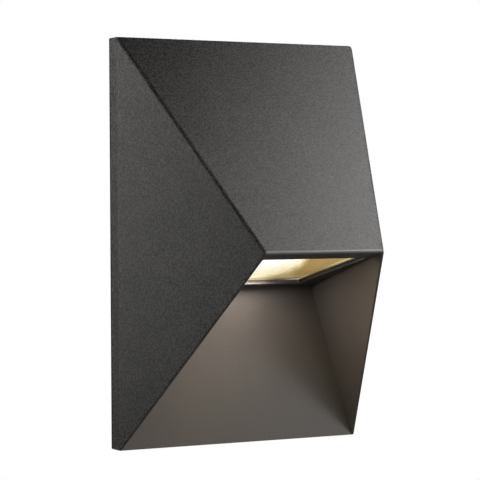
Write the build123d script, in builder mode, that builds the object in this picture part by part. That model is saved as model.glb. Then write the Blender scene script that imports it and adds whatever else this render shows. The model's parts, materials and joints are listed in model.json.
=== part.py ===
from build123d import *
import os
from math import atan, atan2, cos, hypot, radians, sin, tan

# Faceted outdoor wall light, in millimetres. The origin is the middle of the wall plane,
# +Z is up, the front faces -Y, and "forward" is the distance from the wall.

# Housing casting
body_width = 155.0
body_height = 230.0
body_depth = 103.0
rim_depth = 10.0
rim_wall = 3.5
wall = 2.0
ridge_width = 75.0
ridge_drop = 4.0
ridge_lip = 1.0
edge_land = 1.2
recess_drop = 22.0
recess_roof_width = 96.0
corner_radius = 0.8
edge_radius = 2.2
lip_radius = 0.6
pick_margin = 0.05
overshoot = 10.0

# Wall gasket
gasket_thickness = 1.5
gasket_inset = 0.1

# Wall bracket
bracket_width = 70.0
bracket_sheet = 1.5
hook_gap = 0.3
flange_clearance = 0.8
slot_spacing = 80.0
slot_length = 12.0
slot_width = 5.0
bracket_corner = 3.0
bracket_bend = 1.2

# Grub screws that lock the housing on the bracket
grub_spacing = 50.0
grub_radius = 2.0
grub_boss_radius = 3.5
grub_boss_height = 3.0
grub_reach = 0.7
grub_inset = 0.6
grub_socket = 2.0
grub_socket_depth = 2.5

# Cable entry
cable_radius = 4.5
grommet_wall = 2.5
grommet_lip = 2.0
grommet_lip_thickness = 1.4
grommet_nose = 4.0
grommet_nose_wall = 1.2
cable_rise = 15.0

# Window in the roof of the recess
window_front_margin = 13.6
window_back_margin = 9.6
pane_bearing = 4.0
pane_clearance = 1.3
pane_thickness = 4.0
pane_corner = 3.0
pane_chamfer = 0.5
window_corner = 1.5
seal_thickness = 0.6
seal_setback = 0.5
retainer_sheet = 1.0
boss_radius = 3.5
boss_gap = 0.8
ear_radius = 4.5
back_boss_inset = 6.0
boss_floor = 1.0
screw_tip_gap = 0.5

# Reflector
reflector_sheet = 0.6
reflector_front_height = 8.0
reflector_height = 36.0
reflector_back_height = 20.0
reflector_roof_setback = 22.0

# Lamp, a small two-pin capsule, and its holder
lamp_height = 18.0
lamp_offset = 4.0
envelope_radius = 7.2
envelope_length = 27.0
envelope_wall = 1.0
envelope_round = 6.0
lamp_base_radius = 8.5
lamp_base_length = 12.0
lamp_base_round = 0.8
pin_spacing = 9.0
pin_length = 7.5
pin_width = 2.4
pin_thickness = 0.9
strip_width = 6.0
strip_thickness = 1.2
strip_length = 21.0
diode_size = 2.4
diode_height = 0.8
diode_pitch = 4.5
diode_count = 4
first_diode = 4.0
holder_length = 19.0
holder_width = 20.0
holder_height = 17.0
holder_corner = 2.0
holder_gap = 1.5
holder_sheet = 1.2
holder_screw_spacing = 11.0
contact_thickness = 0.4
contact_slack = 0.25
contact_setback = 1.0
pin_slot_slack = 0.6
pin_slot_depth = 9.5
wire_hole_setback = 3.0

# Gear tray and terminal block
tray_width = 96.0
tray_height = 50.0
tray_sheet = 1.2
tray_corner = 4.0
tray_clearance = 2.5
tray_post_spacing = 76.0
post_radius = 4.0
wiring_gap = 3.5
pole_count = 3
pole_pitch = 10.0
terminal_height = 18.0
terminal_depth = 13.0
terminal_round = 1.0
tube_radius = 2.7
tube_bore = 1.7
tube_inset = 1.0
tube_floor = 2.2
clamp_screw_radius = 1.25
clamp_screw_spacing = 9.0
clamp_screw_inset = 1.5
fixing_counterbore = 5.0

# Screws
screw_radius = 1.5
screw_head_radius = 2.8
screw_head_height = 2.0
post_hole_depth = 9.0
small_hole_depth = 5.0
small_screw_radius = 1.2
small_head_radius = 2.2
small_head_height = 1.5
earth_screw_radius = 2.0
earth_head_radius = 3.8
earth_head_height = 2.6
earth_washer_radius = 4.6
earth_washer_thickness = 0.8
drive_width = 0.7
drive_depth = 0.9
hole_slack = 0.05

# Wires
wire_radius = 1.1
wire_slack = 0.2
wire_grip = 7.0
holder_wire_grip = 5.0
wire_drop = 20.0
wire_rise = 20.0
arc_share = 0.45
tag_radius = 4.2
tag_thickness = 0.8
tag_barrel_radius = 1.8
tag_barrel_length = 7.0
tag_neck_width = 3.0
tag_neck_length = 1.0
earth_post_inset = 12.0
earth_post_drop = 6.0
earth_post_forward = 22.0
earth_loop_drop = 14.0

# Housing slopes, each a change per millimetre forward of the rim
slope_run = body_depth - rim_depth
ridge_z = -ridge_drop
side_lean = (body_width - ridge_width) / 2 / slope_run
top_lean = (body_height / 2 - ridge_z) / slope_run
mouth_lean = (body_height / 2 + ridge_z) / slope_run
side_wall = wall * hypot(1, side_lean)
top_wall = wall * hypot(1, top_lean)
mouth_wall = wall * hypot(1, mouth_lean)

# Recess: its roof falls towards the wall and its inner walls spread downwards
roof_front_z = ridge_z - ridge_lip
roof_back_z = ridge_z - recess_drop
roof_lean = (roof_front_z - roof_back_z) / slope_run
recess_half = recess_roof_width / 2
recess_spread = (body_width / 2 - edge_land - recess_half) / (body_height / 2 + roof_back_z)
ridge_inner_half = ridge_width / 2 - edge_land
recess_draw = (ridge_inner_half - recess_half + recess_spread * (roof_front_z - roof_back_z)) / slope_run


def inner_half_width(forward):
    """Half width of the hollow inside the side faces."""
    return body_width / 2 - side_wall - side_lean * (forward - rim_depth)


def inner_top(forward):
    """Height of the inside of the upper face."""
    return body_height / 2 - top_wall - top_lean * (forward - rim_depth)


# Window frame of reference: on the roof's upper side, x across, y down the roof, z into the chamber
roof_angle = atan2(roof_front_z - roof_back_z, slope_run)
roof_length = hypot(roof_front_z - roof_back_z, slope_run)
window_length = roof_length - window_front_margin - window_back_margin
window_centre = window_front_margin + window_length / 2
down_roof = Vector(0, cos(roof_angle), -sin(roof_angle))
off_roof = Vector(0, sin(roof_angle), cos(roof_angle))
roof_origin = Vector(0, -body_depth, roof_front_z) + down_roof * window_centre + off_roof * wall
roof = Plane(origin=roof_origin, x_dir=(1, 0, 0), z_dir=off_roof)
roof_side = Plane(origin=roof_origin, x_dir=down_roof, z_dir=(1, 0, 0))

pane_length = window_length + 2 * pane_bearing
pane_front = -roof_origin.Y + cos(roof_angle) * pane_length / 2
pane_width = 2 * (inner_half_width(pane_front) - pane_clearance)
window_width = pane_width - 2 * pane_bearing

# Bosses that carry the retainer, the reflector and the holder bracket
boss_x = pane_width / 2 + boss_gap + boss_radius
boss_room = boss_x + ear_radius + boss_gap
front_boss_forward = rim_depth + (body_width / 2 - side_wall - boss_room) / side_lean
front_boss_y = (-front_boss_forward - roof_origin.Y) / cos(roof_angle)
back_boss_y = window_length / 2 - back_boss_inset
boss_points = [(x, y) for x in (-boss_x, boss_x) for y in (front_boss_y, back_boss_y)]
left_points = boss_points[:2]
right_points = boss_points[2:]
pane_level = seal_thickness
retainer_level = pane_level + pane_thickness
reflector_level = retainer_level + retainer_sheet
holder_foot_level = reflector_level + reflector_sheet

# Lamp and holder, on the roof's own axes
upright_out = boss_x + ear_radius
upright_in = upright_out - holder_sheet
holder_face = upright_in - holder_length
lamp_level = reflector_level + lamp_height
lamp_origin = roof.from_local_coords(Vector(holder_face, lamp_offset, lamp_level))
lamp_face = Plane(origin=lamp_origin, x_dir=down_roof, z_dir=(-1, 0, 0))
holder_mouth = Plane(origin=lamp_origin, x_dir=down_roof, z_dir=(1, 0, 0))

# Tray and terminal block
tray_forward = bracket_sheet + wiring_gap + terminal_depth
tray_top = inner_top(tray_forward + tray_sheet + tray_clearance)
tray_z = tray_top - tray_height / 2
terminal_top = tray_z + terminal_height / 2
terminal_bottom = tray_z - terminal_height / 2
terminal_back = tray_forward - terminal_depth
tube_forward = tray_forward - tube_floor - tube_radius
pole_offsets = [(i - (pole_count - 1) / 2) * pole_pitch for i in range(pole_count)]
fixing_points = [(x + pole_pitch / 2, tray_z) for x in pole_offsets[:-1]]
clamp_heights = [tray_z - clamp_screw_spacing / 2, tray_z + clamp_screw_spacing / 2]
tray_posts = [(-tray_post_spacing / 2, tray_z), (tray_post_spacing / 2, tray_z)]
earth_post = (earth_post_inset - inner_half_width(earth_post_forward), tray_z - earth_post_drop)

# Bracket
hook_z = body_height / 2 - rim_wall - hook_gap
stop_z = -body_height / 2 + rim_wall + grub_boss_height + grub_reach
flange_forward = rim_depth - wall - flange_clearance
grub_forward = (bracket_sheet + flange_forward) / 2
grub_points = [(-grub_spacing / 2, -grub_forward), (grub_spacing / 2, -grub_forward)]
cable_z = terminal_top + cable_rise
grommet_radius = cable_radius + grommet_wall
bracket_earth = (bracket_width / 2 - earth_washer_radius - bracket_corner, tray_z)


def recess_corners(forward, grow):
    """Corners of the recess at a distance from the wall, grown on every side."""
    roof_z = roof_back_z + roof_lean * (forward - rim_depth) + grow * hypot(1, roof_lean)
    floor_z = -body_height / 2 - overshoot
    shift = recess_draw * (forward - rim_depth) + grow * hypot(1, recess_spread, recess_draw)
    corners = []
    for z in (roof_z, floor_z):
        half = recess_half + recess_spread * (roof_back_z - z) + shift
        corners.append((-half, -forward, z))
        corners.append((half, -forward, z))
    return corners


def recess_solid(grow):
    """The recess as a solid to take away, open towards the front and below."""
    with BuildPart() as solid:
        back_corners = recess_corners(rim_depth - grow, grow)
        front_corners = recess_corners(body_depth + overshoot, grow)
        ConvexPolyhedron(back_corners + front_corners)
    return solid


def facing_wall(forward):
    """A plane at a distance from the wall that looks back at it: its x is -X and its y is Z."""
    return Plane(origin=(0, -forward, 0), x_dir=(-1, 0, 0), z_dir=(0, 1, 0))


def eared_frame(open_width, open_length):
    """Sheet outline over the pane's edge, with an ear at each boss."""
    Rectangle(pane_width, pane_length)
    ear_reach = boss_x - open_width / 2
    for x, y in boss_points:
        side = 1 if x > 0 else -1
        with Locations((side * (boss_x - ear_reach / 2), y)):
            Rectangle(ear_reach, 2 * ear_radius)
    with Locations(*boss_points):
        Circle(ear_radius)
    Rectangle(open_width, open_length, mode=Mode.SUBTRACT)
    with Locations(*boss_points):
        Circle(screw_radius + hole_slack, mode=Mode.SUBTRACT)


def pan_head_screws(plane, points, radius, length, head_radius, head_height):
    """Slotted screws: each shank runs down from the plane and its head stands on the plane."""
    with BuildPart() as screws:
        with BuildSketch(plane):
            with Locations(*points):
                Circle(radius)
        extrude(amount=-length)
        with BuildSketch(plane):
            with Locations(*points):
                Circle(head_radius)
        extrude(amount=head_height)
        with BuildSketch(plane.offset(head_height)):
            with Locations(*points):
                Rectangle(2 * head_radius, drive_width)
        extrude(amount=-drive_depth, mode=Mode.SUBTRACT)
    return screws


def wire(points):
    """A wire along straight runs joined by arcs as large as the runs allow."""
    radii = []
    for before, corner, after in zip(points, points[1:], points[2:]):
        turn = (corner - before).get_angle(after - corner)
        shorter_run = min((corner - before).length, (after - corner).length)
        radii.append(arc_share * shorter_run / tan(radians(turn) / 2))
    print("wire radii", [round(radius, 1) for radius in radii])
    with BuildPart() as lead:
        with BuildLine() as path:
            FilletPolyline(*points, radius=radii)
        with BuildSketch(path.line ^ 0):
            Circle(wire_radius)
        sweep()
    return lead


# Hollow of the housing, less its bosses and posts
rim_half = body_width / 2 - rim_wall
rim_top = body_height / 2 - rim_wall
rim_half_forward = rim_depth + (rim_wall - side_wall) / side_lean
rim_top_forward = rim_depth + (rim_wall - top_wall) / top_lean
rim_bottom_forward = rim_depth + (rim_wall - mouth_wall) / mouth_lean
hollow_forward = rim_depth + (body_height - top_wall - mouth_wall) / (top_lean + mouth_lean)
hollow_front_half = inner_half_width(body_depth)
boss_hole_depth = retainer_level + wall - boss_floor

with BuildPart() as hollow:
    with BuildSketch(Plane.XY):
        Polygon(
            (-rim_half, 0),
            (rim_half, 0),
            (rim_half, -rim_half_forward),
            (hollow_front_half, -body_depth),
            (-hollow_front_half, -body_depth),
            (-rim_half, -rim_half_forward),
            align=None,
        )
    extrude(amount=body_height / 2, both=True)
    with BuildSketch(Plane.YZ):
        Polygon(
            (0, rim_top),
            (-rim_top_forward, rim_top),
            (-hollow_forward, inner_top(hollow_forward)),
            (-rim_bottom_forward, -rim_top),
            (0, -rim_top),
            align=None,
        )
    extrude(amount=body_width / 2, both=True, mode=Mode.INTERSECT)
    add(recess_solid(wall).part, mode=Mode.SUBTRACT)
    with BuildSketch(roof.offset(-wall)):
        with Locations(*boss_points):
            Circle(boss_radius)
    extrude(amount=wall + retainer_level, mode=Mode.SUBTRACT)
    with BuildSketch(Plane.XZ.offset(tray_forward + tray_sheet)):
        with Locations(*tray_posts):
            Circle(post_radius)
    extrude(amount=body_depth, mode=Mode.SUBTRACT)
    with BuildSketch(Plane.XZ.offset(earth_post_forward)):
        with Locations(earth_post):
            Circle(post_radius)
    extrude(amount=body_depth, mode=Mode.SUBTRACT)
    with BuildSketch(Plane.XY.offset(-body_height / 2)):
        with Locations(*grub_points):
            Circle(grub_boss_radius)
    extrude(amount=rim_wall + grub_boss_height, mode=Mode.SUBTRACT)

# Housing
with BuildPart() as housing:
    with BuildSketch(Plane.XZ.offset(gasket_thickness)):
        Rectangle(body_width, body_height)
    extrude(amount=body_depth)
    with BuildSketch(Plane.XY):
        Polygon(
            (-body_width / 2, 0),
            (body_width / 2, 0),
            (body_width / 2, -rim_depth),
            (ridge_width / 2, -body_depth),
            (-ridge_width / 2, -body_depth),
            (-body_width / 2, -rim_depth),
            align=None,
        )
    extrude(amount=body_height / 2, both=True, mode=Mode.INTERSECT)
    with BuildSketch(Plane.YZ):
        Polygon(
            (0, body_height / 2),
            (-rim_depth, body_height / 2),
            (-body_depth, ridge_z),
            (-rim_depth, -body_height / 2),
            (0, -body_height / 2),
            align=None,
        )
    extrude(amount=body_width / 2, both=True, mode=Mode.INTERSECT)
    rim_front = -rim_depth + pick_margin
    front_edges = housing.edges().filter_by_position(Axis.Y, -2 * body_depth, rim_front)
    fillet(front_edges.filter_by_position(Axis.Z, ridge_z + pick_margin, body_height), edge_radius)
    with BuildSketch(Plane.XZ.offset(gasket_thickness)):
        RectangleRounded(body_width, body_height, corner_radius)
    extrude(amount=body_depth, mode=Mode.INTERSECT)
    front_lines = housing.edges().filter_by(GeomType.LINE).filter_by_position(Axis.Y, -2 * body_depth, rim_front)
    mouth_edges = front_lines.filter_by_position(Axis.Z, -body_height, roof_back_z)
    ridge_edge = front_lines.sort_by(Axis.Y)[0]
    fillet([ridge_edge, *mouth_edges], lip_radius)
    add(recess_solid(0).part, mode=Mode.SUBTRACT)
    add(hollow.part, mode=Mode.SUBTRACT)
    with BuildSketch(roof):
        RectangleRounded(window_width, window_length, window_corner)
    extrude(amount=-2 * wall, mode=Mode.SUBTRACT)
    with BuildSketch(roof.offset(retainer_level)):
        with Locations(*boss_points):
            Circle(screw_radius + hole_slack)
    extrude(amount=-boss_hole_depth, mode=Mode.SUBTRACT)
    with BuildSketch(Plane.XZ.offset(tray_forward + tray_sheet)):
        with Locations(*tray_posts):
            Circle(screw_radius + hole_slack)
    extrude(amount=post_hole_depth, mode=Mode.SUBTRACT)
    with BuildSketch(Plane.XZ.offset(earth_post_forward)):
        with Locations(earth_post):
            Circle(earth_screw_radius + hole_slack)
    extrude(amount=post_hole_depth, mode=Mode.SUBTRACT)
    with BuildSketch(Plane.XY.offset(-body_height / 2)):
        with Locations(*grub_points):
            Circle(grub_radius + hole_slack)
    extrude(amount=rim_wall + grub_boss_height, mode=Mode.SUBTRACT)

# Gasket between the rim and the wall
with BuildPart() as wall_gasket:
    with BuildSketch(Plane.XZ):
        gasket_width = body_width - 2 * gasket_inset
        gasket_height = body_height - 2 * gasket_inset
        RectangleRounded(gasket_width, gasket_height, corner_radius - gasket_inset)
        Rectangle(2 * (rim_half + gasket_inset), 2 * (rim_top + gasket_inset), mode=Mode.SUBTRACT)
    extrude(amount=gasket_thickness)

# Grub screws, socket end down
with BuildPart() as grub_screws:
    with BuildSketch(Plane.XY.offset(-body_height / 2 + grub_inset)):
        with Locations(*grub_points):
            Circle(grub_radius)
    extrude(amount=stop_z + body_height / 2 - grub_inset)
    with BuildSketch(Plane.XY.offset(-body_height / 2 + grub_inset)):
        with Locations(*grub_points):
            RegularPolygon(grub_socket / 2, 6, major_radius=False)
    extrude(amount=grub_socket_depth, mode=Mode.SUBTRACT)

# Wall bracket: a plate with a hook flange above and a stop flange below
with BuildPart() as wall_bracket:
    with BuildSketch(Plane.XZ):
        with Locations((0, (hook_z + stop_z) / 2)):
            Rectangle(bracket_width, hook_z - stop_z)
    extrude(amount=bracket_sheet)
    with BuildSketch(Plane.XZ):
        with Locations((0, hook_z - bracket_sheet / 2), (0, stop_z + bracket_sheet / 2)):
            Rectangle(bracket_width, bracket_sheet)
    extrude(amount=flange_forward)
    bends = wall_bracket.edges().filter_by(Axis.X).group_by(Axis.Y)[-1]
    fillet(bends, bracket_bend)
    flange_corners = wall_bracket.edges().filter_by(Axis.Z).group_by(Axis.Y)[0]
    fillet(flange_corners, bracket_corner)
    with BuildSketch(Plane.XZ):
        with Locations((0, slot_spacing / 2), (0, -slot_spacing / 2)):
            SlotOverall(slot_length, slot_width, rotation=90)
        with Locations((0, cable_z)):
            Circle(grommet_radius)
        with Locations(bracket_earth):
            Circle(earth_screw_radius + hole_slack)
    extrude(amount=bracket_sheet, mode=Mode.SUBTRACT)

# Cable grommet, pressed in from the front of the bracket
with BuildPart() as cable_grommet:
    with BuildSketch(Plane.XZ):
        with Locations((0, cable_z)):
            Circle(grommet_radius - hole_slack)
    extrude(amount=bracket_sheet)
    with BuildSketch(Plane.XZ.offset(bracket_sheet)):
        with Locations((0, cable_z)):
            Circle(grommet_radius + grommet_lip)
    extrude(amount=grommet_lip_thickness)
    with BuildSketch(Plane.XZ.offset(bracket_sheet + grommet_lip_thickness)):
        with Locations((0, cable_z)):
            Circle(cable_radius + grommet_nose_wall)
    extrude(amount=grommet_nose)
    with BuildSketch(Plane.XZ):
        with Locations((0, cable_z)):
            Circle(cable_radius)
    extrude(amount=bracket_sheet + grommet_lip_thickness + grommet_nose, mode=Mode.SUBTRACT)

# Earth connection on the bracket
with BuildPart() as bracket_earth_washer:
    with BuildSketch(Plane.XZ.offset(bracket_sheet)):
        with Locations(bracket_earth):
            Circle(earth_washer_radius)
            Circle(earth_screw_radius + hole_slack, mode=Mode.SUBTRACT)
    extrude(amount=earth_washer_thickness)

bracket_earth_screw = pan_head_screws(
    Plane.XZ.offset(bracket_sheet + earth_washer_thickness),
    [bracket_earth],
    earth_screw_radius,
    bracket_sheet + earth_washer_thickness - hole_slack,
    earth_head_radius,
    earth_head_height,
)

# Glass pane on its seal, held by the retainer
with BuildPart() as glass_seal:
    with BuildSketch(roof):
        Rectangle(pane_width, pane_length)
        Rectangle(window_width + 2 * seal_setback, window_length + 2 * seal_setback, mode=Mode.SUBTRACT)
    extrude(amount=seal_thickness)

with BuildPart() as glass_pane:
    with BuildSketch(roof.offset(pane_level)):
        RectangleRounded(pane_width, pane_length, pane_corner)
    extrude(amount=pane_thickness)
    chamfer(glass_pane.faces().sort_by(Axis(roof_origin, off_roof))[-1].edges(), pane_chamfer)

with BuildPart() as glass_retainer:
    with BuildSketch(roof.offset(retainer_level)):
        eared_frame(window_width + 2 * seal_setback, window_length + 2 * seal_setback)
    extrude(amount=retainer_sheet)

# Reflector, a folded hood over the window, open at the back so that the lamp can be changed
window_half_length = window_length / 2
fold_angle = atan(top_lean) + roof_angle
fold_step = reflector_sheet / sin(fold_angle)
reflector_front_top = reflector_level + reflector_front_height
reflector_top = reflector_level + reflector_height
reflector_under = reflector_top - reflector_sheet
fold_run = (reflector_top - reflector_front_top) / tan(fold_angle)
inner_fold_run = (reflector_under - reflector_front_top) / tan(fold_angle)
reflector_front = -window_half_length - reflector_sheet
reflector_back = window_half_length + reflector_sheet
reflector_roof_end = window_half_length - reflector_roof_setback

with BuildPart() as reflector:
    with BuildSketch(roof.offset(reflector_level)):
        eared_frame(window_width, window_length)
    extrude(amount=reflector_sheet)
    with BuildSketch(roof_side):
        Polygon(
            (reflector_front, reflector_level),
            (reflector_front, reflector_front_top + (fold_step - reflector_sheet) * tan(fold_angle)),
            (-window_half_length - fold_step + fold_run, reflector_top),
            (reflector_roof_end, reflector_top),
            (reflector_back, reflector_level + reflector_back_height),
            (reflector_back, reflector_level),
            align=None,
        )
    extrude(amount=window_width / 2 + reflector_sheet, both=True)
    with BuildSketch(roof_side):
        Polygon(
            (-window_half_length, reflector_level),
            (-window_half_length, reflector_front_top),
            (-window_half_length + inner_fold_run, reflector_under),
            (reflector_roof_end, reflector_under),
            (reflector_roof_end, reflector_top),
            (window_half_length, reflector_top),
            (window_half_length, reflector_level),
            align=None,
        )
    extrude(amount=window_width / 2, both=True, mode=Mode.SUBTRACT)
    with BuildSketch(holder_mouth):
        Rectangle(holder_width + 2 * holder_gap, holder_height + 2 * holder_gap)
    extrude(amount=holder_length, mode=Mode.SUBTRACT)

stack_length = holder_foot_level - retainer_level + boss_hole_depth - screw_tip_gap
reflector_screws = pan_head_screws(
    roof.offset(holder_foot_level),
    left_points,
    screw_radius,
    stack_length,
    screw_head_radius,
    screw_head_height,
)

# Holder bracket: a foot on the right-hand bosses and an upright behind the holder
holder_screw_points = [(-holder_screw_spacing / 2, 0), (holder_screw_spacing / 2, 0)]

with BuildPart() as holder_bracket:
    with BuildSketch(roof.offset(holder_foot_level)):
        with Locations((boss_x, (front_boss_y + back_boss_y) / 2)):
            SlotCenterToCenter(back_boss_y - front_boss_y, 2 * ear_radius, rotation=90)
        with Locations(*right_points):
            Circle(screw_radius + hole_slack, mode=Mode.SUBTRACT)
    extrude(amount=holder_sheet)
    with BuildSketch(holder_mouth.offset(holder_length)):
        upright_foot = holder_foot_level - lamp_level
        with Locations((0, (upright_foot + holder_height / 2) / 2)):
            Rectangle(holder_width, holder_height / 2 - upright_foot)
        with Locations(*holder_screw_points):
            Circle(small_screw_radius + hole_slack, mode=Mode.SUBTRACT)
    extrude(amount=holder_sheet)

holder_bracket_screws = pan_head_screws(
    roof.offset(holder_foot_level + holder_sheet),
    right_points,
    screw_radius,
    stack_length + holder_sheet,
    screw_head_radius,
    screw_head_height,
)

# Lamp holder with a slot for each pin and a hole for each wire
wire_hole_x = holder_face + pin_slot_depth + wire_hole_setback
holder_top = lamp_level + holder_height / 2
wire_holes = [(wire_hole_x, lamp_offset - pin_spacing / 2), (wire_hole_x, lamp_offset + pin_spacing / 2)]
pin_points = [(-pin_spacing / 2, 0), (pin_spacing / 2, 0)]
contact_reach = pin_thickness / 2 + contact_slack + contact_thickness

with BuildPart() as lamp_holder:
    with BuildSketch(holder_mouth):
        RectangleRounded(holder_width, holder_height, holder_corner)
    extrude(amount=holder_length)
    with BuildSketch(holder_mouth):
        with Locations(*pin_points):
            Rectangle(2 * contact_reach, pin_width + 2 * pin_slot_slack)
    extrude(amount=pin_slot_depth, mode=Mode.SUBTRACT)
    with BuildSketch(roof.offset(holder_top)):
        with Locations(*wire_holes):
            Circle(wire_radius + wire_slack)
    extrude(amount=-holder_wire_grip, mode=Mode.SUBTRACT)
    with BuildSketch(holder_mouth.offset(holder_length)):
        with Locations(*holder_screw_points):
            Circle(small_screw_radius + hole_slack)
    extrude(amount=-small_hole_depth, mode=Mode.SUBTRACT)

with BuildPart() as holder_contacts:
    contact_offset = pin_spacing / 2 + contact_reach - contact_thickness / 2
    with BuildSketch(holder_mouth.offset(contact_setback)):
        with Locations((-contact_offset, 0), (contact_offset, 0)):
            Rectangle(contact_thickness, pin_width)
    extrude(amount=pin_slot_depth - contact_setback)

holder_screws = pan_head_screws(
    holder_mouth.offset(holder_length + holder_sheet),
    holder_screw_points,
    small_screw_radius,
    holder_sheet + small_hole_depth - screw_tip_gap,
    small_head_radius,
    small_head_height,
)

# Lamp
with BuildPart() as lamp_base:
    with BuildSketch(lamp_face):
        Circle(lamp_base_radius)
    extrude(amount=lamp_base_length)
    fillet(lamp_base.edges().filter_by(GeomType.CIRCLE), lamp_base_round)

with BuildPart() as lamp_pins:
    with BuildSketch(lamp_face):
        with Locations(*pin_points):
            SlotOverall(pin_width, pin_thickness, rotation=90)
    extrude(amount=-pin_length)

with BuildPart() as lamp_envelope:
    with BuildSketch(lamp_face.offset(lamp_base_length)):
        Circle(envelope_radius)
    extrude(amount=envelope_length)
    fillet(lamp_envelope.edges().sort_by(Axis.X)[0], envelope_round)
    offset(amount=-envelope_wall, openings=lamp_envelope.faces().sort_by(Axis.X)[-1])

with BuildPart() as lamp_light_strip:
    with BuildSketch(lamp_face.offset(lamp_base_length)):
        Rectangle(strip_width, strip_thickness)
    extrude(amount=strip_length)
    strip_middle = Plane(origin=lamp_origin, x_dir=(-1, 0, 0), z_dir=off_roof)
    with BuildSketch(strip_middle):
        for i in range(diode_count):
            with Locations((lamp_base_length + first_diode + i * diode_pitch, 0)):
                Rectangle(diode_size, diode_size)
    extrude(amount=strip_thickness / 2 + diode_height, both=True)

# Gear tray on its posts
with BuildPart() as gear_tray:
    with BuildSketch(Plane.XZ.offset(tray_forward)):
        with Locations((0, tray_z)):
            RectangleRounded(tray_width, tray_height, tray_corner)
        with Locations(*tray_posts):
            Circle(screw_radius + hole_slack, mode=Mode.SUBTRACT)
        with Locations(*fixing_points):
            Circle(small_screw_radius + hole_slack, mode=Mode.SUBTRACT)
    extrude(amount=tray_sheet)

tray_screws = pan_head_screws(
    facing_wall(tray_forward),
    tray_posts,
    screw_radius,
    tray_sheet + post_hole_depth - screw_tip_gap,
    screw_head_radius,
    screw_head_height,
)

# Terminal block on the tray's wall side
clamp_points = [(x, z) for x in pole_offsets for z in clamp_heights]
tube_points = [(x, -tube_forward) for x in pole_offsets]

with BuildPart() as terminal_block:
    with BuildSketch(Plane.XZ.offset(terminal_back)):
        with Locations((0, tray_z)):
            RectangleRounded(pole_count * pole_pitch, terminal_height, terminal_round)
    extrude(amount=terminal_depth)
    with BuildSketch(Plane.XY.offset(terminal_bottom)):
        with Locations(*tube_points):
            Circle(tube_radius + hole_slack)
    extrude(amount=terminal_height, mode=Mode.SUBTRACT)
    with BuildSketch(Plane.XZ.offset(terminal_back)):
        with Locations(*clamp_points):
            Circle(clamp_screw_radius + wire_slack)
    extrude(amount=tube_forward - terminal_back, mode=Mode.SUBTRACT)
    with BuildSketch(Plane.XZ.offset(terminal_back)):
        with Locations(*fixing_points):
            Circle(small_head_radius + hole_slack)
    extrude(amount=fixing_counterbore, mode=Mode.SUBTRACT)
    with BuildSketch(Plane.XZ.offset(terminal_back)):
        with Locations(*fixing_points):
            Circle(small_screw_radius + hole_slack)
    extrude(amount=terminal_depth, mode=Mode.SUBTRACT)

with BuildPart() as terminal_tubes:
    with BuildSketch(Plane.XY.offset(terminal_bottom + tube_inset)):
        with Locations(*tube_points):
            Circle(tube_radius)
            Circle(tube_bore, mode=Mode.SUBTRACT)
    extrude(amount=terminal_height - 2 * tube_inset)
    with BuildSketch(Plane.XZ.offset(terminal_back)):
        with Locations(*clamp_points):
            Circle(clamp_screw_radius + hole_slack)
    extrude(amount=tube_forward - terminal_back, mode=Mode.SUBTRACT)

with BuildPart() as terminal_screws:
    clamp_tip = tube_forward - wire_radius - hole_slack
    with BuildSketch(Plane.XZ.offset(terminal_back + clamp_screw_inset)):
        with Locations(*clamp_points):
            Circle(clamp_screw_radius)
    extrude(amount=clamp_tip - terminal_back - clamp_screw_inset)
    with BuildSketch(Plane.XZ.offset(terminal_back + clamp_screw_inset)):
        with Locations(*clamp_points):
            Rectangle(2 * clamp_screw_radius, drive_width)
    extrude(amount=drive_depth, mode=Mode.SUBTRACT)

terminal_fixing_screws = pan_head_screws(
    facing_wall(terminal_back + fixing_counterbore),
    fixing_points,
    small_screw_radius,
    terminal_depth - fixing_counterbore + tray_sheet + screw_tip_gap,
    small_head_radius,
    small_head_height,
)

# Wires from the terminal block to the lamp holder
lamp_wires = []
for pole_x, hole in zip(pole_offsets[1:], wire_holes):
    hole_bottom = roof.from_local_coords(Vector(hole[0], hole[1], holder_top - holder_wire_grip))
    above_hole = roof.from_local_coords(Vector(hole[0], hole[1], holder_top + wire_rise))
    route = [
        Vector(pole_x, -tube_forward, terminal_bottom + wire_grip),
        Vector(pole_x, -tube_forward, terminal_bottom - wire_drop),
        above_hole,
        hole_bottom,
    ]
    lamp_wires.append(wire(route))
neutral_wire, live_wire = lamp_wires

# Earth wire from the terminal block to its tag on the housing's earth post
tag_forward = earth_post_forward - tag_thickness / 2
earth_x, earth_z = earth_post
earth_loop_x = (pole_offsets[0] + earth_x) / 2
barrel_top = earth_z - tag_radius - tag_neck_length
barrel_bottom = barrel_top - tag_barrel_length
earth_wire = wire(
    [
        Vector(pole_offsets[0], -tube_forward, terminal_bottom + wire_grip),
        Vector(pole_offsets[0], -tube_forward, terminal_bottom - earth_loop_drop),
        Vector(earth_loop_x, -(tube_forward + tag_forward) / 2, barrel_bottom - earth_loop_drop),
        Vector(earth_x, -tag_forward, barrel_bottom - earth_loop_drop),
        Vector(earth_x, -tag_forward, barrel_top),
    ]
)

with BuildPart() as earth_tag:
    with BuildSketch(Plane.XZ.offset(earth_post_forward - tag_thickness)):
        with Locations(earth_post):
            Circle(tag_radius)
        with Locations((earth_x, (earth_z + barrel_top) / 2)):
            Rectangle(tag_neck_width, earth_z - barrel_top)
        with Locations(earth_post):
            Circle(earth_screw_radius + hole_slack, mode=Mode.SUBTRACT)
    extrude(amount=tag_thickness)
    with BuildSketch(Plane.XY.offset(barrel_bottom)):
        with Locations((earth_x, -tag_forward)):
            Circle(tag_barrel_radius)
    extrude(amount=tag_barrel_length)
    with BuildSketch(Plane.XY.offset(barrel_bottom)):
        with Locations((earth_x, -tag_forward)):
            Circle(wire_radius + hole_slack)
    extrude(amount=tag_barrel_length, mode=Mode.SUBTRACT)

housing_earth_screw = pan_head_screws(
    facing_wall(earth_post_forward - tag_thickness),
    [(-earth_x, earth_z)],
    earth_screw_radius,
    tag_thickness + post_hole_depth - screw_tip_gap,
    earth_head_radius,
    earth_head_height,
)

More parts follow.
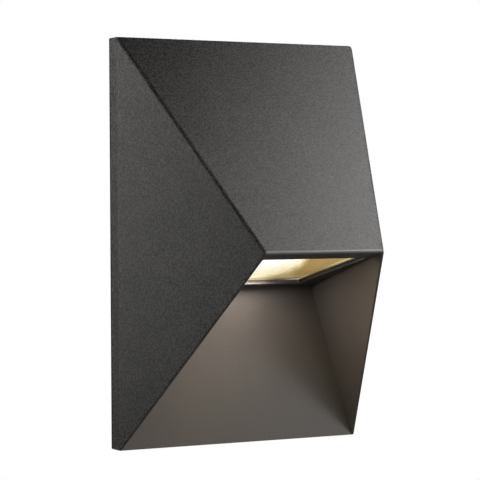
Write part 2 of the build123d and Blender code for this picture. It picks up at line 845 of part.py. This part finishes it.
pieces = {
    "housing": housing,
    "wall_gasket": wall_gasket,
    "grub_screws": grub_screws,
    "wall_bracket": wall_bracket,
    "cable_grommet": cable_grommet,
    "bracket_earth_washer": bracket_earth_washer,
    "bracket_earth_screw": bracket_earth_screw,
    "glass_seal": glass_seal,
    "glass_pane": glass_pane,
    "glass_retainer": glass_retainer,
    "reflector": reflector,
    "reflector_screws": reflector_screws,
    "holder_bracket": holder_bracket,
    "holder_bracket_screws": holder_bracket_screws,
    "lamp_holder": lamp_holder,
    "holder_contacts": holder_contacts,
    "holder_screws": holder_screws,
    "lamp_base": lamp_base,
    "lamp_pins": lamp_pins,
    "lamp_envelope": lamp_envelope,
    "lamp_light_strip": lamp_light_strip,
    "gear_tray": gear_tray,
    "tray_screws": tray_screws,
    "terminal_block": terminal_block,
    "terminal_tubes": terminal_tubes,
    "terminal_screws": terminal_screws,
    "terminal_fixing_screws": terminal_fixing_screws,
    "neutral_wire": neutral_wire,
    "live_wire": live_wire,
    "earth_wire": earth_wire,
    "earth_tag": earth_tag,
    "housing_earth_screw": housing_earth_screw,
}

os.makedirs("parts", exist_ok=True)
for name, piece in pieces.items():
    piece.part.label = name
    export_step(piece.part, f"parts/{name}.step")
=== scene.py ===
import json
from math import pi, radians

import bmesh
import bpy
from mathutils import Matrix, Vector

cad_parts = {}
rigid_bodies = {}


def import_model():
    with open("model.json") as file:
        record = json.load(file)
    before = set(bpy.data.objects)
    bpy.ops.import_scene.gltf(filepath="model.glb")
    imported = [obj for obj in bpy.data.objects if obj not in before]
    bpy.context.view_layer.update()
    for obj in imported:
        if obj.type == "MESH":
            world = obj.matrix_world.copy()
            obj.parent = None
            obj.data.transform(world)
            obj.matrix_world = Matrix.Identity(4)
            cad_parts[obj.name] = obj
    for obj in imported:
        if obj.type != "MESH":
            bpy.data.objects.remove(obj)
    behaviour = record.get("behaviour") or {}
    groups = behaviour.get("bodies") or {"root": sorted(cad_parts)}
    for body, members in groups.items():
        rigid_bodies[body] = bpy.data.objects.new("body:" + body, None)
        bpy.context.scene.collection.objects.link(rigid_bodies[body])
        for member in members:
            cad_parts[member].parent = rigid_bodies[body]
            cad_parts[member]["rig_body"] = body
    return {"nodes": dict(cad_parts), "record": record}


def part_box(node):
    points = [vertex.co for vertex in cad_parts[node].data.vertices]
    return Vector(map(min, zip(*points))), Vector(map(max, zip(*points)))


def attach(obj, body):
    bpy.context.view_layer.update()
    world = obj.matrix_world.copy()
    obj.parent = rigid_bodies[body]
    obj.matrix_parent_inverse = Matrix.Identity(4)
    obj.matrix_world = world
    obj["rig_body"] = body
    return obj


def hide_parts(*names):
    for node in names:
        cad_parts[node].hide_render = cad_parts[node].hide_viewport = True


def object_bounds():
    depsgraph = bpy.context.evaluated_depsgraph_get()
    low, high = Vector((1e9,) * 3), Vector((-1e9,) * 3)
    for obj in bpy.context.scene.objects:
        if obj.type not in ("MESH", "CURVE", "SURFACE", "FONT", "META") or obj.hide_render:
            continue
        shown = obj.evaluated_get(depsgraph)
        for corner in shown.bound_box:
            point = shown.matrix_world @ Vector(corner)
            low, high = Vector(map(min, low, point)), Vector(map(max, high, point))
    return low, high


# Faceted outdoor wall light, in metres: its finishes, screws and lit window, and a plain studio
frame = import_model()
cad_low, cad_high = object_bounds()
nodes = frame["nodes"]
slots = {part["node"]: part["material_slot"] for part in frame["record"]["subparts"]}
MM = 0.001
to_right = Vector((1, 0, 0))
to_wall = Vector((0, 1, 0))
to_front = Vector((0, -1, 0))
to_sky = Vector((0, 0, 1))


class Socket:
    """An output of a shader node. Arithmetic on it adds Math nodes."""

    def __init__(self, finish, output):
        self.finish = finish
        self.output = output

    def math(self, operation, first, second):
        return self.finish.node("ShaderNodeMath", {"operation": operation}, {0: first, 1: second})

    def __add__(self, other):
        return self.math("ADD", self, other)

    def __radd__(self, other):
        return self.math("ADD", other, self)

    def __sub__(self, other):
        return self.math("SUBTRACT", self, other)

    def __rsub__(self, other):
        return self.math("SUBTRACT", other, self)

    def __mul__(self, other):
        return self.math("MULTIPLY", self, other)

    def __rmul__(self, other):
        return self.math("MULTIPLY", other, self)

    def at_least(self, floor):
        return self.math("MAXIMUM", self, floor)


class Finish:
    """A node tree with short ways to add what the finishes of this light are made of."""

    def __init__(self, owner):
        owner.use_nodes = True
        self.owner = owner
        self.tree = owner.node_tree

    def node(self, kind, settings=None, inputs=None, output=0):
        """Adds a node: its settings are set first, then its sockets get values or links."""
        added = self.tree.nodes.new(kind)
        for name, setting in (settings or {}).items():
            setattr(added, name, setting)
        for name, value in (inputs or {}).items():
            self.feed(added.inputs[name], value)
        return Socket(self, added.outputs[output])

    def feed(self, target, value):
        """Links a socket's value, or sets a plain one."""
        if isinstance(value, Socket):
            self.tree.links.new(value.output, target)
        else:
            target.default_value = value

    def shader(self, **sockets):
        """Sets the Principled shader's sockets, named in lower case with underscores."""
        principled = self.tree.nodes["Principled BSDF"]
        by_name = {socket.name.lower().replace(" ", "_"): socket for socket in principled.inputs}
        for name, value in sockets.items():
            self.feed(by_name[name], value)
        return self.owner

    def place(self):
        return self.node("ShaderNodeTexCoord", output="Object")

    def facing(self):
        return self.node("ShaderNodeTexCoord", output="Normal")

    def ray(self, kind):
        """1 for rays of a kind, such as Camera or Glossy, and 0 for others."""
        return self.node("ShaderNodeLightPath", output=f"Is {kind} Ray")

    def stretched(self, place, scale):
        return self.node("ShaderNodeMapping", {}, {"Vector": place, "Scale": scale})

    def along(self, place, direction):
        """How far a place lies along a direction."""
        settings = {"operation": "DOT_PRODUCT"}
        return self.node("ShaderNodeVectorMath", settings, {0: place, 1: direction}, "Value")

    def noise(self, place, grain, detail=2.0):
        """Noise from 0 to 1 with grains of a real size."""
        return self.node("ShaderNodeTexNoise", {}, {"Vector": place, "Scale": 1 / grain, "Detail": detail})

    def cells(self, place, grain):
        """Crystals of a real size: 0 at their middles, rising outwards."""
        return self.node("ShaderNodeTexVoronoi", {}, {"Vector": place, "Scale": 1 / grain})

    def step(self, value, low, high):
        """Rises smoothly from 0 at low to 1 at high."""
        settings = {"interpolation_type": "SMOOTHSTEP"}
        limits = {"Value": value, "From Min": low, "From Max": high}
        return self.node("ShaderNodeMapRange", settings, limits)

    def blend(self, share, first, second):
        """One colour into another, through the Mix node's colour sockets."""
        inputs = {0: share, 6: colour(first), 7: colour(second)}
        return self.node("ShaderNodeMix", {"data_type": "RGBA"}, inputs, 2)

    def bump(self, height, depth, strength=1.0):
        return self.node("ShaderNodeBump", {}, {"Height": height, "Distance": depth, "Strength": strength})


def colour(value):
    """A colour's own socket, or its three values made opaque."""
    return value if isinstance(value, Socket) else (*value, 1.0)


def new_finish(name):
    return Finish(bpy.data.materials.new(name))


def upward_normal(node):
    """The upward normal of a node's widest triangle."""
    face = max(nodes[node].data.polygons, key=lambda polygon: polygon.area)
    return face.normal.copy() if face.normal.z > 0 else -face.normal


# Window, read from the pane: its normal leans towards the wall
roof_to_pane = 2.6 * MM
window_up = upward_normal("glass_pane")
window_down = Vector((0, window_up.z, -window_up.y))
pane_middle = sum(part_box("glass_pane"), Vector()) / 2
pane_underside = min(window_up.dot(vertex.co) for vertex in nodes["glass_pane"].data.vertices)
window_middle = pane_middle + (pane_underside - window_up.dot(pane_middle)) * window_up
roof_underside = pane_underside - roof_to_pane
lamp_middle = sum(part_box("lamp_envelope"), Vector()) / 2
ridge_front = -cad_low.y


def powder_coat():
    """Anthracite powder coat: sand-grained outside with painted glints, smooth in the recess, a painted
    highlight on the ridge, painted shade in the window's cut.
    """
    coat = new_finish("powder_coat")
    place = coat.place()
    facing = coat.facing()

    # Faces of the recess look neither outwards nor up
    # The window's cut looks inwards, above the roof's underside; its faces are painted dark brown as
    # painted shade
    outward = coat.along(facing, to_right) * coat.along(place, to_right)
    rise = coat.along(facing, to_sky)
    recess = (1 - coat.step(outward, 2 * MM, 8 * MM)) * (1 - coat.step(rise, 0.1, 0.35))
    above_roof = coat.along(place, window_up) - roof_underside
    cut = coat.step(0 - outward, 20 * MM, 28 * MM) * coat.step(above_roof, 0.1 * MM, 0.4 * MM)
    # The ridge's front edge gets a painted highlight, a paler line along it
    ridge = coat.step(coat.along(place, to_front), ridge_front - 0.7 * MM, ridge_front - 0.3 * MM)

    sand = coat.noise(place, grain=0.92 * MM, detail=0.4)
    grit = coat.step(sand, 0.38, 0.62)
    # Light dots in the coat's colour are painted glints
    glint_specks = coat.step(coat.noise(place, grain=0.8 * MM, detail=0.0), 0.66, 0.8)
    clouds = coat.noise(place, grain=45 * MM)
    tone = (0.8 - 0.7 * recess) * grit + 0.2 * clouds + 0.35 * recess
    ground = coat.blend(tone, (0.022, 0.0208, 0.0195), (0.128, 0.1207, 0.1131))
    sand_and_glints = coat.blend(0.35 * glint_specks * (1 - recess), ground, (0.17, 0.164, 0.156))
    ridge_highlighted = coat.blend(0.85 * ridge, sand_and_glints, (0.30, 0.29, 0.28))
    return coat.shader(
        base_color=coat.blend(cut, ridge_highlighted, (0.022, 0.014, 0.009)),
        roughness=0.42 + 0.16 * sand,
        specular_ior_level=0.15,
        coat_weight=recess * (1 - coat.step(0 - rise, 0.5, 0.8)) * (1 - cut),
        coat_roughness=0.36,
        normal=coat.bump(sand * (1 - 0.95 * recess), depth=0.25 * MM, strength=0.35),
    )


def rubber():
    """Black moulded rubber with a faint bloom."""
    skin = new_finish("black_rubber")
    place = skin.place()
    bloom = skin.noise(place, grain=9 * MM, detail=3.0)
    pores = skin.noise(place, grain=0.4 * MM, detail=1.0)
    return skin.shader(
        base_color=skin.blend(bloom, (0.010, 0.010, 0.010), (0.020, 0.0195, 0.019)),
        roughness=0.66 + 0.2 * bloom,
        specular_ior_level=0.2,
        normal=skin.bump(pores, depth=0.05 * MM, strength=0.5),
    )


def silicone():
    """Clear silicone, milky and pale on the left, with painted shade darkening it on the right."""
    skin = new_finish("clear_silicone")
    place = skin.place()
    milk = skin.noise(place, grain=4 * MM)
    # Painted shade: the seal darkens from the left towards the right
    pale = 1 - skin.step(skin.along(place, to_right), 0.0, 22 * MM)
    shaded_milk = skin.blend(milk, (0.26, 0.24, 0.20), (0.38, 0.35, 0.30))
    return skin.shader(
        base_color=skin.blend(pale, shaded_milk, (0.80, 0.77, 0.72)),
        roughness=0.35 + 0.2 * milk,
        ior=1.41,
        transmission_weight=0.85,
    )


def zinc_plate():
    """Zinc-plated sheet: pale cloudy crystals and rolling lines."""
    sheet = new_finish("zinc_plate")
    place = sheet.place()
    crystals = sheet.cells(place, grain=5 * MM)
    clouds = sheet.noise(place, grain=14 * MM, detail=3.0)
    lines = sheet.noise(sheet.stretched(place, (1.0, 1.0, 0.03)), grain=0.5 * MM)
    tone = 0.45 * crystals + 0.55 * clouds
    return sheet.shader(
        base_color=sheet.blend(tone, (0.50, 0.515, 0.53), (0.70, 0.71, 0.715)),
        metallic=1.0,
        roughness=0.26 + 0.14 * clouds + 0.1 * lines,
        normal=sheet.bump(lines, depth=0.02 * MM, strength=0.4),
    )


def bare_metal(name, dark, light, roughness):
    """Turned or stamped metal with a fine tooled grain and slight tarnish."""
    metal = new_finish(name)
    place = metal.place()
    tarnish = metal.noise(place, grain=2.5 * MM, detail=3.0)
    tooling = metal.noise(place, grain=0.25 * MM, detail=1.0)
    return metal.shader(
        base_color=metal.blend(metal.step(tarnish, 0.3, 0.7), dark, light),
        metallic=1.0,
        roughness=roughness + 0.12 * tarnish,
        normal=metal.bump(tooling, depth=0.01 * MM, strength=0.3),
    )


def clear_glass():
    """Float glass with the faintest smears."""
    glass = new_finish("clear_glass")
    smears = glass.noise(glass.place(), grain=22 * MM)
    return glass.shader(
        base_color=(0.96, 0.985, 0.97, 1.0),
        roughness=0.03 * glass.step(smears, 0.55, 0.8),
        ior=1.45,
        transmission_weight=1.0,
    )


def lit_reflector():
    """Satin aluminium with painted light on its lamp side: it glows white, then cream, then gold, which
    climbs to the right, and a painted gold reflection tints it.
    """
    sheet = new_finish("reflector_aluminium")
    place = sheet.place()
    facing = sheet.facing()
    right = sheet.along(place, to_right)
    forward = sheet.along(place, to_front)
    down = sheet.along(place, window_down) - window_down.dot(window_middle)
    height = sheet.along(place, window_up) - pane_underside

    # The lamp side: faces with the lamp's middle before them, and those that look down at the window
    rise = sheet.along(facing, window_up)
    before_face = sheet.along(facing, lamp_middle) - sheet.along(place, facing)
    inside = sheet.step(before_face, 0.0, 2 * MM) * (1 - sheet.step(rise, 0.8, 0.95))
    lamp_side = inside.at_least(sheet.step(0 - rise, 0.8, 0.95))

    # The gold climbs with the run to the right and the front, where its border with the cream is softer
    gold_height = 3.9 * MM
    gold_climb = 0.005 / MM
    front_start = 20 * MM
    run = (right + (forward - front_start).at_least(0.0)).at_least(0.0)
    above = height - gold_height - gold_climb * run * run
    softened = above * (1 - 0.6 * sheet.step(run, 18 * MM, 36 * MM))
    cream = sheet.step(softened, -1.2 * MM, 1.4 * MM)
    white = sheet.step(above, 0.8 * MM, 7 * MM)

    # In the painted gold glow, a painted highlight along the right wall's foot and painted shade along the
    # back edge
    right_foot = sheet.step(right, 30 * MM, 31 * MM) * (1 - sheet.step(height, 4.2 * MM, 4.7 * MM))
    foot_highlight = right_foot * sheet.step(forward, 40 * MM, 62 * MM)
    back_foot = sheet.step(down, 35.2 * MM, 35.8 * MM) * (1 - sheet.step(height, 4.0 * MM, 4.4 * MM))
    dark = back_foot * sheet.step(right, 10 * MM, 22 * MM)
    gold = sheet.blend(sheet.step(right, 27 * MM, 34 * MM), (0.40, 0.31, 0.145), (0.27, 0.18, 0.06))
    gold_with_highlight = sheet.blend(foot_highlight, gold, (0.64, 0.53, 0.26))
    gold_with_highlight_and_shade = sheet.blend(dark, gold_with_highlight, (0.09, 0.06, 0.025))

    lines = sheet.noise(sheet.stretched(place, (1.0, 0.04, 1.0)), grain=0.5 * MM)
    # Painted light: the reflector glows by itself, and on its lamp side its colour holds a painted gold
    # reflection
    glow = sheet.blend(white, sheet.blend(cream, gold_with_highlight_and_shade, (0.92, 0.78, 0.49)), (1.0, 0.97, 0.93))
    gold_reflection = sheet.blend(lines, (0.11, 0.068, 0.02), (0.15, 0.096, 0.03))
    lit = sheet.blend(cream, gold_reflection, (0.22, 0.21, 0.19))
    bare = sheet.blend(lines, (0.52, 0.51, 0.49), (0.66, 0.65, 0.63))
    return sheet.shader(
        base_color=sheet.blend(lamp_side, bare, lit),
        metallic=1.0,
        roughness=0.3 + 0.15 * lines,
        emission_color=sheet.blend(lamp_side, (0.0, 0.0, 0.0), glow),
        emission_strength=2.3,
        normal=sheet.bump(lines, depth=0.02 * MM, strength=0.3),
    )


def fired_ceramic():
    """Unglazed white ceramic with dark flecks."""
    body = new_finish("holder_ceramic")
    place = body.place()
    tooth = body.noise(place, grain=0.5 * MM)
    flecks = body.step(body.noise(place, grain=0.8 * MM, detail=0.0), 0.7, 0.78)
    return body.shader(
        base_color=body.blend(0.5 * flecks, (0.80, 0.78, 0.72), (0.45, 0.42, 0.36)),
        roughness=0.5 + 0.25 * tooth,
        normal=body.bump(tooth, depth=0.04 * MM, strength=0.5),
    )


def moulded_plastic(name, dark, light):
    """Moulded plastic with a fine spark-eroded skin."""
    skin = new_finish(name)
    place = skin.place()
    erosion = skin.noise(place, grain=0.35 * MM, detail=1.0)
    flow = skin.noise(place, grain=12 * MM)
    return skin.shader(
        base_color=skin.blend(flow, dark, light),
        roughness=0.38 + 0.2 * erosion,
        normal=skin.bump(erosion, depth=0.03 * MM, strength=0.5),
    )


def frosted_envelope():
    """Frosted lamp glass that glows warm, a little unevenly."""
    glass = new_finish("lamp_glass")
    frost = glass.noise(glass.place(), grain=0.5 * MM)
    return glass.shader(
        base_color=glass.blend(frost, (0.93, 0.88, 0.78), (0.99, 0.96, 0.9)),
        roughness=0.45 + 0.2 * frost,
        emission_color=glass.blend(frost, (1.0, 0.80, 0.50), (1.0, 0.88, 0.64)),
        emission_strength=1.5,
    )


def light_strip():
    """The lamp's strip: a pale board with yellow grains that glow."""
    board = new_finish("light_strip")
    grains = board.noise(board.place(), grain=0.6 * MM, detail=1.0)
    return board.shader(
        base_color=board.blend(grains, (0.9, 0.78, 0.4), (0.95, 0.9, 0.72)),
        roughness=0.5 + 0.1 * grains,
        emission_color=board.blend(grains, (1.0, 0.78, 0.42), (1.0, 0.86, 0.6)),
        emission_strength=2.5,
    )


def striped_insulation():
    """Green insulation with yellow bands."""
    skin = new_finish("green_yellow_insulation")
    place = skin.place()
    waves = {"Vector": place, "Scale": 0.1 / MM, "Distortion": 0.0}
    bands = skin.node("ShaderNodeTexWave", {"bands_direction": "DIAGONAL"}, waves, "Fac")
    return skin.shader(
        base_color=skin.blend(skin.step(bands, 0.45, 0.55), (0.03, 0.22, 0.05), (0.72, 0.58, 0.03)),
        roughness=0.36 + 0.1 * skin.noise(place, grain=1.5 * MM),
    )


# Which finish each slot of the record takes
finishes = {
    "powder_coat": powder_coat(),
    "black_rubber": rubber(),
    "clear_silicone": silicone(),
    "zinc_steel": zinc_plate(),
    "screw_steel": bare_metal("screw_steel", (0.46, 0.46, 0.47), (0.62, 0.62, 0.63), roughness=0.26),
    "brass": bare_metal("brass", (0.52, 0.34, 0.12), (0.78, 0.57, 0.26), roughness=0.24),
    "clear_glass": clear_glass(),
    "reflector_aluminium": lit_reflector(),
    "holder_ceramic": fired_ceramic(),
    "white_plastic": moulded_plastic("white_plastic", (0.74, 0.74, 0.71), (0.82, 0.82, 0.79)),
    "lamp_glass": frosted_envelope(),
    "lamp_pin_metal": bare_metal("lamp_pin_metal", (0.6, 0.6, 0.6), (0.75, 0.75, 0.75), roughness=0.15),
    "light_strip": light_strip(),
    "brown_insulation": moulded_plastic("brown_insulation", (0.11, 0.045, 0.02), (0.15, 0.065, 0.03)),
    "blue_insulation": moulded_plastic("blue_insulation", (0.025, 0.10, 0.38), (0.04, 0.14, 0.46)),
    "green_yellow_insulation": striped_insulation(),
}
for node, slot in slots.items():
    materials = nodes[node].data.materials
    materials.clear()
    materials.append(finishes[slot])

# The lamp's light passes its own glass and the pane without a shadow
for node in ("glass_pane", "lamp_envelope", "lamp_light_strip"):
    nodes[node].visible_shadow = False

# What tells the screws of a node apart, and a head from its shank
screw_apart = 8 * MM
level_slack = 0.01 * MM
rim_slack = 0.05
below_head = 0.1 * MM

# Cross-head screws: many of their sizes are shares of the head's radius or height
screw_sides = 40
screw_tip = 0.4 * MM
tip_of_shank = 0.6
dome_of_height = 0.6
dome_segments = 6
arm_length_of_radius = 1.25
arm_width_of_radius = 0.28
arm_of_height = 1.2
arm_floor_share = 0.7
flat_face = 0.9
near_top = 0.9
crease_angle = radians(35)
first_turn = radians(20)
next_turn = radians(50)


def gather_crowns(places, up):
    """The highest points of a node, in one list for each screw."""
    top = max(up.dot(place) for place in places)
    crowns = []
    for place in places:
        if top - up.dot(place) < level_slack:
            crown = next((crown for crown in crowns if (crown[0] - place).length < screw_apart), None)
            if crown is None:
                crown = []
                crowns.append(crown)
            crown.append(place)
    return crowns


def middle_of(crown):
    """The middle of the box around a crown."""
    ends = [(min(values), max(values)) for values in zip(*crown)]
    return Vector([(low + high) / 2 for low, high in ends])


def read_screws(node, up):
    """The seats of a node's screws, heads towards up, and the radius and length of head and shank."""
    places = [vertex.co for vertex in nodes[node].data.vertices]
    crowns = gather_crowns(places, up)
    middles = [middle_of(crown) for crown in crowns]
    head_radius = max((place - middles[0]).length for place in crowns[0])
    spots = []
    for place in places:
        reach = place - middles[0]
        fall = -up.dot(reach)
        spots.append((fall, (reach + fall * up).length))
    head_height = max(fall for fall, off_axis in spots if abs(off_axis / head_radius - 1) < rim_slack)
    shank = [off_axis for fall, off_axis in spots if fall > head_height + below_head]
    shank_radius = max(off_axis for off_axis in shank if off_axis < head_radius)
    levels = [up.dot(place) for place in places]
    shank_length = max(levels) - min(levels) - head_height
    seats = [middle - head_height * up for middle in middles]
    return seats, head_radius, head_height, shank_radius, shank_length


def select_only(*pieces):
    """Selects some pieces and nothing else, the first one active."""
    bpy.ops.object.select_all(action="DESELECT")
    for piece in pieces:
        piece.select_set(True)
    bpy.context.view_layer.objects.active = pieces[0]


def pick_faces(piece, wanted):
    """Selects, in edit mode, the faces that are wanted."""
    bpy.ops.mesh.select_mode(type="FACE")
    bpy.ops.mesh.select_all(action="DESELECT")
    shape = bmesh.from_edit_mesh(piece.data)
    for face in shape.faces:
        face.select = wanted(face)
    shape.select_flush_mode()
    bmesh.update_edit_mesh(piece.data)


def looks_down(face):
    return face.normal.z < -flat_face


def cut_arm(screw, head_radius, head_height, turn):
    """Cuts one arm of the cross into the head, narrower at its floor."""
    length = arm_length_of_radius * head_radius
    width = arm_width_of_radius * head_radius
    size = (length, width, arm_of_height * head_height)
    at = (0, 0, head_height)
    bpy.ops.object.select_all(action="DESELECT")
    bpy.ops.mesh.primitive_cube_add(size=1, location=at, rotation=(0, 0, turn), scale=size)
    blade = bpy.context.object
    bpy.ops.object.transform_apply(location=True, rotation=True, scale=True)
    bpy.ops.object.mode_set(mode="EDIT")
    pick_faces(blade, looks_down)
    bpy.ops.transform.resize(value=(arm_floor_share, arm_floor_share, 1))
    bpy.ops.object.mode_set(mode="OBJECT")
    cut = screw.modifiers.new("recess", "BOOLEAN")
    cut.operation = "DIFFERENCE"
    cut.object = blade
    select_only(screw)
    bpy.ops.object.modifier_apply(modifier=cut.name)
    bpy.data.objects.remove(blade)


def cross_head_screw(head_radius, head_height, shank_radius, shank_length):
    """One screw, its head seated on the origin: a domed head, a cross recess and a pointed shank."""
    at = (0, 0, head_height / 2)
    bpy.ops.object.select_all(action="DESELECT")
    bpy.ops.mesh.primitive_cylinder_add(
        vertices=screw_sides, radius=head_radius, depth=head_height, location=at
    )
    screw = bpy.context.object
    bpy.ops.object.transform_apply(location=True, rotation=True, scale=True)
    bpy.ops.object.mode_set(mode="EDIT")
    pick_faces(screw, looks_down)
    bpy.ops.mesh.inset(thickness=head_radius - shank_radius)
    to_tip = {"value": (0, 0, screw_tip - shank_length)}
    bpy.ops.mesh.extrude_region_move(TRANSFORM_OT_translate=to_tip)
    bpy.ops.mesh.extrude_region_move(TRANSFORM_OT_translate={"value": (0, 0, -screw_tip)})
    bpy.ops.transform.resize(value=(tip_of_shank, tip_of_shank, 1))
    top = near_top * head_height
    pick_faces(screw, lambda face: face.normal.z > flat_face and face.calc_center_median().z > top)
    bpy.ops.mesh.bevel(offset=dome_of_height * head_height, segments=dome_segments, affect="EDGES")
    bpy.ops.object.mode_set(mode="OBJECT")
    for turn in (0, pi / 2):
        cut_arm(screw, head_radius, head_height, turn)
    bpy.ops.object.shade_smooth_by_angle(angle=crease_angle)
    return screw


def fit_screws(node, up):
    """Stands cross-head screws where a node's plain ones are, each driven home at another angle."""
    seats, *sizes = read_screws(node, up)
    pattern = cross_head_screw(*sizes)
    upright = up.to_track_quat("Z", "Y").to_matrix().to_4x4()
    copies = []
    for count, seat in enumerate(seats):
        select_only(pattern)
        bpy.ops.object.duplicate()
        copy = bpy.context.object
        turned = Matrix.Rotation(first_turn + next_turn * count, 4, "Z")
        copy.matrix_world = Matrix.Translation(seat) @ upright @ turned
        copies.append(copy)
    bpy.data.objects.remove(pattern)
    select_only(*copies)
    if len(copies) > 1:
        bpy.ops.object.join()
    bpy.ops.object.transform_apply(location=True, rotation=True, scale=True)
    screws = copies[0]
    screws.name = "cross_head_" + node
    screws.data.materials.clear()
    screws.data.materials.append(finishes[slots[node]])
    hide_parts(node)
    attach(screws, nodes[node]["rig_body"])


# Screws, each group with the way its heads look
fit_screws("tray_screws", to_wall)
fit_screws("terminal_fixing_screws", to_wall)
fit_screws("housing_earth_screw", to_wall)
fit_screws("bracket_earth_screw", to_front)
fit_screws("reflector_screws", window_up)
fit_screws("holder_bracket_screws", window_up)
fit_screws("holder_screws", to_right)


def softbox(name, at, aim, size, power, tint=(1.0, 1.0, 1.0), spread=180):
    """A rectangular lamp that the camera doesn't see."""
    lamp = bpy.data.lights.new(name, "AREA")
    lamp.shape = "RECTANGLE"
    lamp.size, lamp.size_y = size
    lamp.energy = power
    lamp.color = tint
    lamp.spread = radians(spread)
    box = bpy.data.objects.new(name, lamp)
    box.location = at
    box.rotation_euler = (Vector(aim) - Vector(at)).to_track_quat("-Z", "Y").to_euler()
    box.visible_camera = False
    bpy.context.scene.collection.objects.link(box)
    return box


# Studio lamps: overhead on the right, on the left a little behind, behind, and two in front on the right
softbox(
    "overhead_softbox",
    at=(0.76, -0.39, 0.89),
    aim=(0.19, -0.07, -0.19),
    size=(0.4, 0.4),
    power=1.48,
    spread=26,
)
softbox(
    "left_softbox",
    at=(-1.2, 0.57, 0.06),
    aim=(0.3, 0.2, 0.444),
    size=(0.5, 0.5),
    power=3.05,
    spread=52,
)
softbox("back_softbox", at=(0.5, 1.1, 0.5), aim=(0, 0, 0), size=(0.6, 0.6), power=9.0)
softbox("front_softbox", at=(1.35, -1.05, -0.1), aim=(1.35, 0, -0.1), size=(0.92, 0.75), power=9.4)
softbox("low_softbox", at=(0.7, -1.05, -0.6), aim=(0.7, 0, -0.6), size=(0.8, 0.25), power=2.1)

below_pane = 0.4 * MM
window_light_depth = 11 * MM


def window_light(name, right, down, width, power, tint):
    """The lamp's light as it leaves the pane, at a place on the window's own axes."""
    at = window_middle + right * to_right + down * window_down - below_pane * window_up
    light = softbox(name, at, at - window_up, (width, window_light_depth), power, tint)
    light.visible_glossy = False
    light.visible_transmission = False
    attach(light, "housing")


window_light(
    "window_front_light",
    right=-24 * MM,
    down=-29 * MM,
    width=19 * MM,
    power=0.216,
    tint=(1.0, 0.79, 0.57),
)
window_light(
    "window_back_light",
    right=-2 * MM,
    down=27 * MM,
    width=26 * MM,
    power=0.046,
    tint=(1.0, 0.88, 0.83),
)

backdrop_side = (0.5, 0.866, 0.0)
dim_studio = 0.1
plain_fill = 0.05


def studio_world():
    """White to the camera, reflections white behind the object and dim elsewhere, a low plain fill."""
    world = bpy.data.worlds.new("studio")
    bpy.context.scene.world = world
    air = Finish(world)
    camera = air.ray("Camera")
    glossy = air.ray("Glossy")
    through = air.ray("Transmission")
    towards = air.node("ShaderNodeTexCoord", output="Generated")
    backdrop = air.step(air.along(towards, backdrop_side), 0.64, 0.9)
    reflected = dim_studio + (1 - dim_studio) * backdrop
    mirrored = (1 - camera) * (glossy + through)
    other = (1 - camera) * (1 - glossy) * (1 - through)
    background = air.tree.nodes["Background"]
    air.feed(background.inputs["Color"], (1.0, 1.0, 1.0, 1.0))
    air.feed(background.inputs["Strength"], camera + mirrored * reflected + other * plain_fill)


studio_world()

floor_radius = 1.2
floor_fall = 1.25


def pale_floor():
    """A round pale floor well below the light, which fades into the white at its edge."""
    at = (0, 0, cad_low.z - floor_fall)
    bpy.ops.object.select_all(action="DESELECT")
    bpy.ops.mesh.primitive_circle_add(vertices=96, radius=floor_radius, fill_type="NGON", location=at)
    floor = bpy.context.object
    floor.name = "floor"
    card = new_finish("pale_floor")
    card.shader(base_color=(0.3, 0.3, 0.3, 1.0), roughness=0.9)
    paint = Socket(card, card.tree.nodes["Principled BSDF"].outputs[0])
    white = card.node("ShaderNodeEmission", {}, {"Color": (1, 1, 1, 1), "Strength": 1.0})
    seen = card.ray("Camera") + 0.25 * (card.ray("Glossy") + card.ray("Transmission"))
    from_middle = card.node("ShaderNodeVectorMath", {"operation": "LENGTH"}, {0: card.place()}, "Value")
    share = seen * (0.7 + 0.3 * card.step(from_middle, 0.3 * floor_radius, 0.95 * floor_radius))
    mixed = card.node("ShaderNodeMixShader", {}, {0: share, 1: paint, 2: white})
    card.feed(card.tree.nodes["Material Output"].inputs["Surface"], mixed)
    floor.data.materials.append(card.owner)


pale_floor()

camera_at = (-0.5947, -1.0455, 0.0209)
camera_turn = radians(29.89)
camera_fall = radians(0.94)
camera_roll = radians(-0.30)


def photo_camera():
    """The camera at the photograph's angle, for a square picture."""
    camera = bpy.data.cameras.new("camera")
    camera.sensor_width = 36.0
    camera.lens = 156.2
    seat = bpy.data.objects.new("camera", camera)
    turn = Matrix.Rotation(-camera_turn, 4, "Z")
    tilt = Matrix.Rotation(pi / 2 - camera_fall, 4, "X")
    roll = Matrix.Rotation(camera_roll, 4, "Z")
    seat.matrix_world = Matrix.Translation(camera_at) @ turn @ tilt @ roll
    bpy.context.scene.collection.objects.link(seat)
    bpy.context.scene.camera = seat


photo_camera()
bpy.context.scene.view_settings.view_transform = "Standard"
